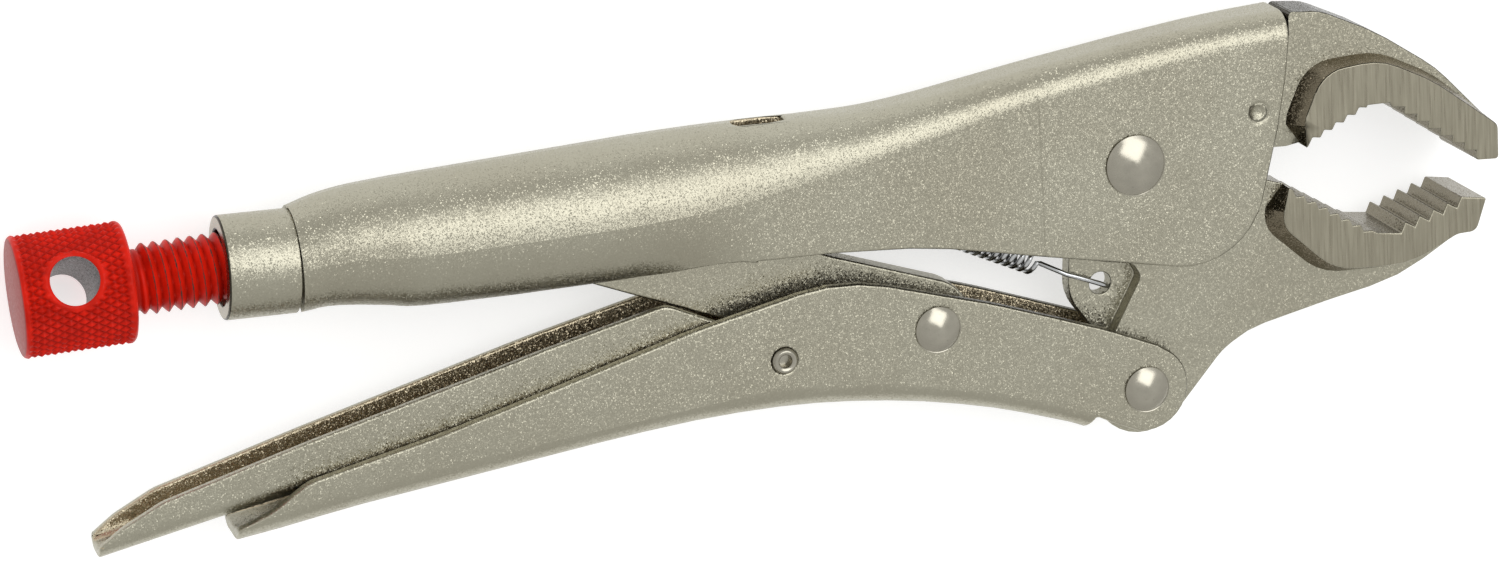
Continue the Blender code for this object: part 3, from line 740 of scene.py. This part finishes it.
def enamel(name, colour, worn):
    """Red enamel: even, a little uneven in gloss, rubbed where the relief is high, and darker where
    the relief is low, which is painted shade in the grooves.
    """
    material, tree, surface = shader(name)
    place = object_place(tree)
    clouds = noise(tree, place, 300.0, 3.0)
    scuffs = noise(tree, place, 1500.0, 4.0, 0.7)
    relief = tree.nodes.new("ShaderNodeAttribute")
    relief.attribute_name = "relief"
    tone = blend(
        tree, span(tree, clouds.outputs["Fac"], 0.3, 0.7, 0.0, 1.0),
        tinted(colour, 0.9), tinted(colour, 1.35),
    )
    high = Number(tree, relief.outputs["Fac"]) + (Number(tree, scuffs.outputs["Fac"]) - 0.5) * 0.2
    tone = blend(tree, high.ramp(*worn["range"]).value, tone, worn["colour"])
    # Painted shade: the enamel darkens where the relief is low, in the knurl's grooves and the
    # thread's roots.
    low = Number(tree, relief.outputs["Fac"]).ramp(0.05, 0.5)
    tone = blend(tree, low.value, tinted(colour, 0.72), tone)
    tree.links.new(tone, surface.inputs["Base Color"])
    tree.links.new(
        span(tree, scuffs.outputs["Fac"], 0.3, 0.7, 0.28, 0.46), surface.inputs["Roughness"],
    )
    tree.links.new(bump(tree, scuffs.outputs["Fac"], 0.03 * MM, 0.5), surface.inputs["Normal"])
    surface.inputs["Specular IOR Level"].default_value = 0.1
    return material


def finishes():
    """Every finish of the tool, made once and found by name after that."""
    if "ground_jaw" in bpy.data.materials:
        return
    look = bpy.context.scene.pliers_finish
    blasted_metal("blasted_sheet", look.nickel, look.grain)
    blasted_metal("blasted_forging", look.nickel, look.grain * 1.15, 0.7)
    blasted_metal("blasted_link", tinted(look.nickel, 1.02), look.grain, 0.5)
    # The inside finish's warmer brown tone is painted shade of the channels.
    blasted_metal("inside_shade", tinted(look.nickel, 1.15, 0.10), look.grain, 1.4)
    ground_metal("ground_jaw", tinted(look.nickel, 0.84, 0.02), (1.0, 0.04, 0.3))
    ground_metal("smooth_neck", look.nickel, (0.25, 1.0, 1.0), (0.2, 0.32))
    bright_metal("rivet_plate", look.bright)
    bright_metal("spring_zinc", look.zinc, (0.12, 0.22))
    enamel("knob_enamel", look.enamel, {"range": (0.85, 1.3), "colour": (0.55, 0.03, 0.025)})
    enamel("end_enamel", tinted(look.enamel, 0.6),
           {"range": (-2.0, 1.0), "colour": (0.30, 0.045, 0.04)})
    # Painted shade: near-black metal for the cross hole and the neck's bore.
    blasted_metal("hole_shade", (0.06, 0.055, 0.055), look.grain, 0.5)
    # Painted shade: a very dark tone for the fixed jaw's top faces and the neck's rear chamfer.
    blasted_metal("edge_shade", tinted(look.nickel, 0.13, 0.04), look.grain, 0.9, (0.2, 0.3))
    # Painted shade: a darker brown tone for the jaw bosses' drafts.
    blasted_metal("draft_shade", tinted(look.nickel, 0.5, 0.10), look.grain, 0.8, (0.2, 0.3))
    # Painted shade: a darker tone for cut rims that face one way.
    blasted_metal("rim_shade", tinted(look.nickel, 0.30, 0.04), look.grain, 0.6, (0.25, 0.35))
    # Painted shade: a darker brown tone for the upright faces at the front of the jaws.
    blasted_metal("tooth_shade", tinted(look.nickel, 0.55, 0.06), look.grain, 0.4, (0.2, 0.3))
    enamel("thread_enamel", look.enamel, {"range": (0.93, 1.0), "colour": (0.06, 0.03, 0.025)})


def finish(name):
    """A finish by its name."""
    finishes()
    return bpy.data.materials[name]


# ---------------------------------------------------------------- pieces

class PLIERS_OT_stage(bpy.types.Operator):
    """Make the pale floor, the soft light, the bright surroundings and the camera."""

    bl_idname = "pliers.stage"
    bl_label = "Stage"

    FLOOR_HALF = 3.0
    LAMP_PLACE = (0.27, 0.40, 0.88)
    LAMP_SIZE = 0.8
    CAMERA_PLACE = (-122.258, 208.283, 702.212)
    CAMERA_TURN = (-15.8488, -17.4183, -3.7861)
    CAMERA_LENS = 116.62

    def execute(self, context):
        stage = context.scene.pliers_stage
        material, tree, surface = shader("pale_floor")
        surface.inputs["Base Color"].default_value = (0.6, 0.6, 0.6, 1.0)
        surface.inputs["Roughness"].default_value = 0.9
        surface.inputs["Specular IOR Level"].default_value = 0.1
        surface.inputs["Emission Color"].default_value = (1.0, 1.0, 1.0, 1.0)
        surface.inputs["Emission Strength"].default_value = 0.6
        bm = bmesh.new()
        bmesh.ops.create_grid(bm, x_segments=2, y_segments=2, size=self.FLOOR_HALF)
        mesh = bpy.data.meshes.new("floor")
        bm.to_mesh(mesh)
        bm.free()
        mesh.materials.append(material)
        floor = linked("floor", mesh)
        self.light("overhead_softbox", stage.key_power)
        self.surroundings(stage.sky)
        self.camera()
        context.scene.view_settings.view_transform = "Standard"
        return {"FINISHED"}

    def light(self, name, power):
        """A square soft box above, aimed at the middle of the tool."""
        data = bpy.data.lights.new(name, "AREA")
        data.shape = "SQUARE"
        data.size = self.LAMP_SIZE
        data.energy = power
        lamp = linked(name, data)
        lamp.location = self.LAMP_PLACE
        lamp.rotation_euler = (-lamp.location).to_track_quat("-Z", "Y").to_euler()

    def surroundings(self, strength):
        """Brightest above and a little towards the jaws, and evenly darker away from there."""
        world = bpy.data.worlds.new("studio")
        bpy.context.scene.world = world
        world.use_nodes = True
        tree = world.node_tree
        background = tree.nodes["Background"]
        place = tree.nodes.new("ShaderNodeTexCoord")
        lean = tree.nodes.new("ShaderNodeVectorMath")
        lean.operation = "DOT_PRODUCT"
        lean.inputs[1].default_value = (0.35, 0.15, 0.92)
        tree.links.new(place.outputs["Generated"], lean.inputs[0])
        tone = blend(tree, span(tree, lean.outputs["Value"], -0.3, 1.0, 0.0, 1.0),
                     (0.62, 0.61, 0.585), (0.82, 0.82, 0.805))
        tree.links.new(tone, background.inputs["Color"])
        background.inputs["Strength"].default_value = strength

    def camera(self):
        """A long lens above the tool, turned so that the screw is at the left."""
        data = bpy.data.cameras.new("camera")
        data.sensor_width = 36.0
        data.lens = self.CAMERA_LENS
        data.clip_start = 0.05
        data.clip_end = 20.0
        camera = linked("camera", data)
        camera.location = ORIGIN + Vector(self.CAMERA_PLACE) * MM
        camera.rotation_euler = [math.radians(angle) for angle in self.CAMERA_TURN]
        bpy.context.scene.camera = camera


class PLIERS_OT_handle(bpy.types.Operator):
    """Make the fixed handle's curled sheet and the threaded neck at its rear end."""

    bl_idname = "pliers.handle"
    bl_label = "Handle and neck"

    def execute(self, context):
        edge = context.scene.pliers_sizes.edge
        shell = from_solid(
            "handle_shell", "handle_sheet", edge, line=HANDLE_PRESS_LINE, weld=1e-5,
            rounded_from=HANDLE_ROUNDED_FROM,
        )
        give(shell, finish("blasted_sheet"), "handle", "handle_shell")
        line_inside(shell)
        darken_rim(shell, (1.0, -0.2), 155.0)
        neck = turned("neck_tube", rounded_profile((
            (NECK_LENGTH + NECK_ROOM, SPIGOT_RADIUS), (NECK_LENGTH, SPIGOT_RADIUS),
            (NECK_LENGTH, NECK_RADIUS, 0.2), (0.0, NECK_RADIUS, 0.5), (0.0, NECK_BORE, 0.3),
            (NECK_LENGTH + NECK_ROOM, NECK_BORE),
        )), axis="X", tilt=-NECK_DROOP, segments=128)
        give(neck, finish("blasted_sheet"), "handle", "threaded_neck")
        for extra in ("smooth_neck", "edge_shade", "hole_shade"):
            neck.data.materials.append(finish(extra))
        # Painted shade: near-black metal in the bore and a very dark tone on the rear chamfer; the
        # rear face gets the smooth finish.
        for face in neck.data.polygons:
            out = (face.center - ORIGIN).yz.length / MM
            if out < NECK_BORE + 0.25 and face.center.x - ORIGIN.x > 0.2 * MM:
                face.material_index = 3
            elif face.normal.x < -0.97:
                face.material_index = 1
            elif face.normal.x < -0.25:
                face.material_index = 2
        return {"FINISHED"}


class PLIERS_OT_jaws(bpy.types.Operator):
    """Make both forged jaws, with ground sides where they grip."""

    bl_idname = "pliers.jaws"
    bl_label = "Jaws"

    def execute(self, context):
        edge = context.scene.pliers_sizes.edge
        for node, name, body, rounded_from in (
            ("fixed_jaw", "fixed_jaw_forging", "handle", FIXED_JAW_ROUNDED_FROM),
            ("movable_jaw", "movable_jaw_forging", "jaw", MOVABLE_JAW_ROUNDED_FROM),
        ):
            jaw = from_solid(
                node, name, edge * JAW_EDGE_SHARE, bosses=True, weld=1e-6,
                rounded_from=rounded_from,
            )
            give(jaw, finish("blasted_forging"), body, node)
            for extra in ("ground_jaw", "edge_shade", "tooth_shade", "draft_shade"):
                jaw.data.materials.append(finish(extra))
            # The ground boss faces keep their finish; the rest is painted shade: darker drafts,
            # very dark top faces on the fixed jaw, and darker upright faces at the front, where the
            # teeth are.
            for face in jaw.data.polygons:
                across = abs(face.center.z - ORIGIN.z) / MM
                if abs(face.normal.z) > 0.9 and across > 6.9:
                    face.material_index = 1
                elif 0.15 < abs(face.normal.z) < 0.9 and 4.8 < across < 6.6:
                    face.material_index = 4
                elif node == "fixed_jaw" and face.normal.y > 0.3 and abs(face.normal.z) < 0.8:
                    face.material_index = 2
                elif abs(face.normal.z) < 0.3 and face.center.x > ORIGIN.x + 150 * MM:
                    face.material_index = 3
        return {"FINISHED"}


class PLIERS_OT_levers(bpy.types.Operator):
    """Make the main lever, the release lever and the toggle link."""

    bl_idname = "pliers.levers"
    bl_label = "Levers and link"

    def execute(self, context):
        edge = context.scene.pliers_sizes.edge
        lever = from_solid("main_lever", "lever_channel", edge, line=LEVER_PRESS_LINE)
        give(lever, finish("blasted_sheet"), "lever", "main_lever")
        line_inside(lever)
        darken_rim(lever, (0.8, 0.9), 95.0)
        release = from_solid("release_lever", "release_channel", edge, weld=1e-6)
        give(release, finish("blasted_sheet"), "release", "release_lever")
        line_inside(release)
        link = from_solid("toggle_link", "toggle_plate", edge)
        give(link, finish("blasted_link"), "link", "toggle_link")
        return {"FINISHED"}


class PLIERS_OT_rivets(bpy.types.Operator):
    """Make the domed rivets and the release lever's tubular pin."""

    bl_idname = "pliers.rivets"
    bl_label = "Rivets and pin"

    def rivet(self, name, place, sizes, body, node):
        """A shank with a domed head at each end."""
        head, height, shank, half_grip = sizes
        seat = half_grip + 0.1
        sphere = (head * head + height * height) / (2 * height)
        upper = []
        for i in range(13):
            radius = (head - 0.12) * i / 12
            upper.append((seat + height - sphere + math.sqrt(sphere ** 2 - radius ** 2), radius))
        upper += [(seat + 0.16, head), (seat, head - 0.1), (seat, shank)]
        profile = upper + [(-along, radius) for along, radius in reversed(upper)]
        made = turned(name, profile, place=place[:2])
        give(made, finish("rivet_plate"), body, node)

    def execute(self, context):
        self.rivet("jaw_rivet", JAW_PIVOT, JAW_RIVET, "handle", "jaw_pivot_rivet")
        self.rivet("lever_rivet", LEVER_PIVOT, LEVER_RIVET, "lever", "lever_pivot_rivet")
        self.rivet("toggle_rivet", LINK_PIVOT, LINK_RIVET, "lever", "link_rivet")
        upper = rounded_profile((
            (PIN_SEAT, PIN_RADIUS), (PIN_SEAT, PIN_RADIUS + 0.4, 0.15),
            (PIN_SEAT + 0.65, PIN_RADIUS - 0.1, 0.3), (PIN_SEAT + 0.35, PIN_BORE + 0.15, 0.2),
            (PIN_SEAT - 1.2, PIN_BORE), (PIN_SEAT - 1.3, 0.0),
        ))
        profile = upper[::-1] + [(-along, radius) for along, radius in upper]
        pin = turned("release_roll_pin", profile, place=RELEASE_PIVOT[:2], segments=48)
        give(pin, finish("rivet_plate"), "lever", "release_pin")
        return {"FINISHED"}


class PLIERS_OT_spring(bpy.types.Operator):
    """Make the return spring: hook, coil and hook, in one wire."""

    bl_idname = "pliers.spring"
    bl_label = "Return spring"

    LOW = Vector((131.0, -18.4, 0.0))
    HIGH = Vector((103.5, -4.6, 0.0))
    EAR = Vector((141.9, -23.6, 0.0))
    TONGUE = Vector((88.3, 7.6, 0.0))
    COIL = 2.15

    def path(self, turns):
        """The middle line of the wire, from the hook in the jaw's ear to the one on the tongue."""
        low, high, ear, tip = self.LOW, self.HIGH, self.EAR, self.TONGUE
        along = (high - low).normalized()
        side = Vector((0.0, 0.0, 1.0))
        up = side.cross(along)
        hook = ear - along * 0.9
        points = [
            hook + side * 0.6 - along * 0.5,
            hook + side * 1.4 - along * 0.3,
            hook + side * 2.1,
            hook + along * 1.3 + side * 2.2,
            hook + along * 5.2 + side * 2.2 + up * 0.2,
            hook + along * 7.4 + side * 2.1 + up * 0.4,
            low + side * self.COIL * 0.6 - along * 0.9,
        ]
        steps = 16
        for i in range(turns * steps + 1):
            angle = 2 * math.pi * i / steps
            centre = low.lerp(high, i / (turns * steps))
            points.append(
                centre + side * self.COIL * math.cos(angle) + up * self.COIL * math.sin(angle)
            )
        return points + [
            high + along * 1.2 + side * 1.9,
            high + along * 2.4 + side * 2.1,
            tip - along * 3.4 + side * 2.1,
            tip - along * 0.6 + side * 2.2,
            tip + along * 1.6 + side * 1.3,
            tip + along * 1.9 - side * 0.6,
        ]

    def execute(self, context):
        sizes = context.scene.pliers_sizes
        tree, entry, value = new_tree("wire_along_path", ["Wire Radius"])
        ring = tree.nodes.new("GeometryNodeCurvePrimitiveCircle")
        ring.inputs["Resolution"].default_value = 10
        value["Wire Radius"].plug([s for s in ring.inputs if s.name == "Radius" and s.enabled][0])
        sweep = tree.nodes.new("GeometryNodeCurveToMesh")
        sweep.inputs["Fill Caps"].default_value = True
        tree.links.new(entry.outputs["Geometry"], sweep.inputs["Curve"])
        tree.links.new(ring.outputs["Curve"], sweep.inputs["Profile Curve"])
        close_tree(tree, entry, sweep.outputs["Mesh"])
        data = bpy.data.curves.new("spring_path", "CURVE")
        data.dimensions = "3D"
        spline = data.splines.new("POLY")
        points = self.path(sizes.spring_turns)
        spline.points.add(len(points) - 1)
        for point, place in zip(spline.points, points):
            point.co = (*(ORIGIN + place * MM), 1.0)
        path = linked("spring_path", data)
        wire = grow(path, tree, {"Wire Radius": sizes.spring_wire}, finish("spring_zinc"),
                    "spring_wire")
        smooth(wire, 50)
        give(wire, finish("spring_zinc"), "handle", "return_spring")
        return {"FINISHED"}


class PLIERS_OT_screw(bpy.types.Operator):
    """Make the adjusting screw: knurled knob with its cross hole, thread and nose."""

    bl_idname = "pliers.screw"
    bl_label = "Adjusting screw"

    def knob_rule(self, x, turn, value):
        """Raised diamonds that fade at both rims and round the cross hole."""
        around = turn * (2 * math.pi) - math.radians(90 - KNOB_HOLE_TURN)
        sideways = around.do("SINE") * value["Radius"]
        off = x - (ORIGIN.x + KNOB_HOLE_X * MM)
        away = (off * off + sideways * sideways).do("SQRT")
        lip = away.ramp((KNOB_HOLE_RADIUS - 0.1) * MM, (KNOB_HOLE_RADIUS + 0.9) * MM)
        clear = away.ramp((KNOB_HOLE_RADIUS + 0.5) * MM, (KNOB_HOLE_RADIUS + 1.3) * MM)
        rear = x - value["Start"]
        front = value["End"] - x
        clear = clear * rear.ramp(0.5 * MM, 1.2 * MM) * front.ramp(0.7 * MM, 1.5 * MM)
        slope = x / value["Pitch"]
        left = (turn * value["Rows"] + slope).ridge()
        right = (turn * value["Rows"] - slope).ridge()
        ridge = left.do("MINIMUM", right)
        rear_round = rear.ramp(0.0, 0.9 * MM) - 1.0
        rear_round = (rear_round * rear_round * -1.0 + 1.0).do("SQRT") - 1.0
        front_round = front.ramp(0.0, 1.0 * MM) - 1.0
        front_round = (front_round * front_round * -1.0 + 1.0).do("SQRT") - 1.0
        lip_round = (lip - 1.0) * (lip - 1.0)
        radius = value["Radius"] + rear_round * (0.9 * MM) + front_round * (1.0 * MM)
        radius = radius - lip_round * (0.45 * MM)
        carved = (ridge - 1.0) * value["Depth"] * clear
        return radius + carved, ridge * clear + (clear - 1.0) * -0.7

    def thread_rule(self, x, turn, value):
        """Sharp-rooted crests on a right hand helix, fading at the knob and at the end."""
        ridge = (x / value["Pitch"] - turn).ridge()
        ridge = ridge.ramp(0.0, 0.93)
        start = (x - value["Start"]).ramp(2.1 * MM, 3.3 * MM)
        end = (value["End"] - x).ramp(0.2 * MM, 1.8 * MM)
        crest = ridge * start * end
        cone = (x - value["Start"]).ramp(0.8 * MM, 2.4 * MM) * -1.0 + 1.0
        return value["Radius"] + (crest - 1.0) * value["Depth"] + cone * (1.0 * MM), crest

    def execute(self, context):
        sizes = context.scene.pliers_sizes
        start = ORIGIN.x + KNOB_BACK * MM
        front = ORIGIN.x + KNOB_FRONT * MM
        tree = sleeve_tree(
            "knurled_knob", ["Radius", "Rows", "Pitch", "Depth"], 130, 440, self.knob_rule,
        )
        knob = grow(
            linked("knob_seed", bpy.data.meshes.new("knob_seed")), tree,
            {"Start": start, "End": front, "Radius": KNOB_RADIUS * MM, "Rows": sizes.knurl_rows,
             "Pitch": sizes.knurl_pitch, "Depth": sizes.knurl_depth},
            finish("knob_enamel"), "knurled_knob",
        )
        close_ends(knob.data)
        knob.data.transform(Matrix.Translation((0.0, ORIGIN.y, ORIGIN.z)))
        knob = self.drill(knob)
        tree = sleeve_tree("screw_thread", ["Radius", "Pitch", "Depth"], 340, 72, self.thread_rule)
        thread = grow(
            linked("thread_seed", bpy.data.meshes.new("thread_seed")), tree,
            {"Start": front - 1.2 * MM, "End": ORIGIN.x + SCREW_END * MM,
             "Radius": SCREW_RADIUS * MM, "Pitch": sizes.thread_pitch,
             "Depth": sizes.thread_depth},
            finish("thread_enamel"), "screw_thread",
        )
        close_ends(thread.data)
        thread.data.transform(Matrix.Translation((0.0, ORIGIN.y, ORIGIN.z)))
        smooth(knob, 40)
        give(knob, finish("knob_enamel"), "screw_spin", "thumb_screw")
        self.colour_faces(knob)
        smooth(thread, 40)
        give(thread, finish("thread_enamel"), "screw_spin")
        nose = turned("screw_tip", rounded_profile((
            (SCREW_END - 6.0, 0.0), (SCREW_END - 6.0, 3.3), (NOSE_START, 3.3),
            (NOSE_START, 4.6, 0.2), (NOSE_END - 1.1, 4.3, 0.8), (NOSE_END, 2.2, 0.6),
            (NOSE_END, 0.0),
        )), axis="X", segments=64)
        give(nose, finish("rivet_plate"), "screw_slide", "screw_nose")
        return {"FINISHED"}

    def colour_faces(self, knob):
        """Painted shade in the cross hole as near-black metal, and a matt end face."""
        knob.data.materials.append(finish("hole_shade"))
        knob.data.materials.append(finish("end_enamel"))
        turn = math.radians(KNOB_HOLE_TURN)
        axis = Vector((0.0, math.sin(turn), math.cos(turn)))
        for face in knob.data.polygons:
            place = (face.center - ORIGIN) / MM
            from_axis = place - Vector((KNOB_HOLE_X, 0.0, 0.0))
            from_axis -= axis * from_axis.dot(axis)
            in_hole = from_axis.length < KNOB_HOLE_RADIUS * 1.002
            if in_hole and place.yz.length < KNOB_RADIUS - 0.6:
                face.material_index = 1
            elif face.normal.x < -0.95 and place.x < KNOB_BACK + 0.1:
                face.material_index = 2

    def drill(self, knob):
        """Cut the cross hole through the knob."""
        reach = KNOB_RADIUS + 5.6
        cutter = turned("cross_drill", (
            (-reach, 0.0), (-reach, KNOB_HOLE_RADIUS), (reach, KNOB_HOLE_RADIUS), (reach, 0.0),
        ), segments=72)
        cutter.data.transform(Matrix.Translation(-ORIGIN))
        cutter.data.transform(Matrix.Rotation(math.radians(-KNOB_HOLE_TURN), 4, "X"))
        cutter.data.transform(Matrix.Translation(ORIGIN + Vector((KNOB_HOLE_X * MM, 0.0, 0.0))))
        step = knob.modifiers.new("cross hole", "BOOLEAN")
        step.operation = "DIFFERENCE"
        step.object = cutter
        step.solver = "EXACT"
        drilled = plain_mesh(knob, "knurled_knob")
        bpy.data.objects.remove(cutter, do_unlink=True)
        return drilled


class PLIERS_PT_panel(bpy.types.Panel):
    """Sizes, finishes and makers of the locking pliers."""

    bl_idname = "PLIERS_PT_panel"
    bl_label = "Locking Pliers"
    bl_space_type = "VIEW_3D"
    bl_region_type = "UI"
    bl_category = "Pliers"

    def draw(self, context):
        for group in (
            context.scene.pliers_sizes, context.scene.pliers_finish, context.scene.pliers_stage,
        ):
            column = self.layout.column(align=True)
            for label in group.__annotations__:
                column.prop(group, label)
        for operator in MAKERS:
            self.layout.operator(operator.bl_idname)


MAKERS = (
    PLIERS_OT_stage, PLIERS_OT_handle, PLIERS_OT_jaws, PLIERS_OT_levers, PLIERS_OT_rivets,
    PLIERS_OT_spring, PLIERS_OT_screw,
)
CLASSES = (PliersSizes, PliersFinish, PliersStage, *MAKERS, PLIERS_PT_panel)


def register():
    for item in CLASSES:
        bpy.utils.register_class(item)
    bpy.types.Scene.pliers_sizes = PointerProperty(type=PliersSizes)
    bpy.types.Scene.pliers_finish = PointerProperty(type=PliersFinish)
    bpy.types.Scene.pliers_stage = PointerProperty(type=PliersStage)


def unregister():
    del bpy.types.Scene.pliers_stage
    del bpy.types.Scene.pliers_finish
    del bpy.types.Scene.pliers_sizes
    for item in reversed(CLASSES):
        bpy.utils.unregister_class(item)


def main():
    register()
    bpy.ops.pliers.stage()
    bpy.ops.pliers.handle()
    bpy.ops.pliers.jaws()
    bpy.ops.pliers.levers()
    bpy.ops.pliers.rivets()
    bpy.ops.pliers.spring()
    bpy.ops.pliers.screw()


if __name__ == "__main__":
    main()
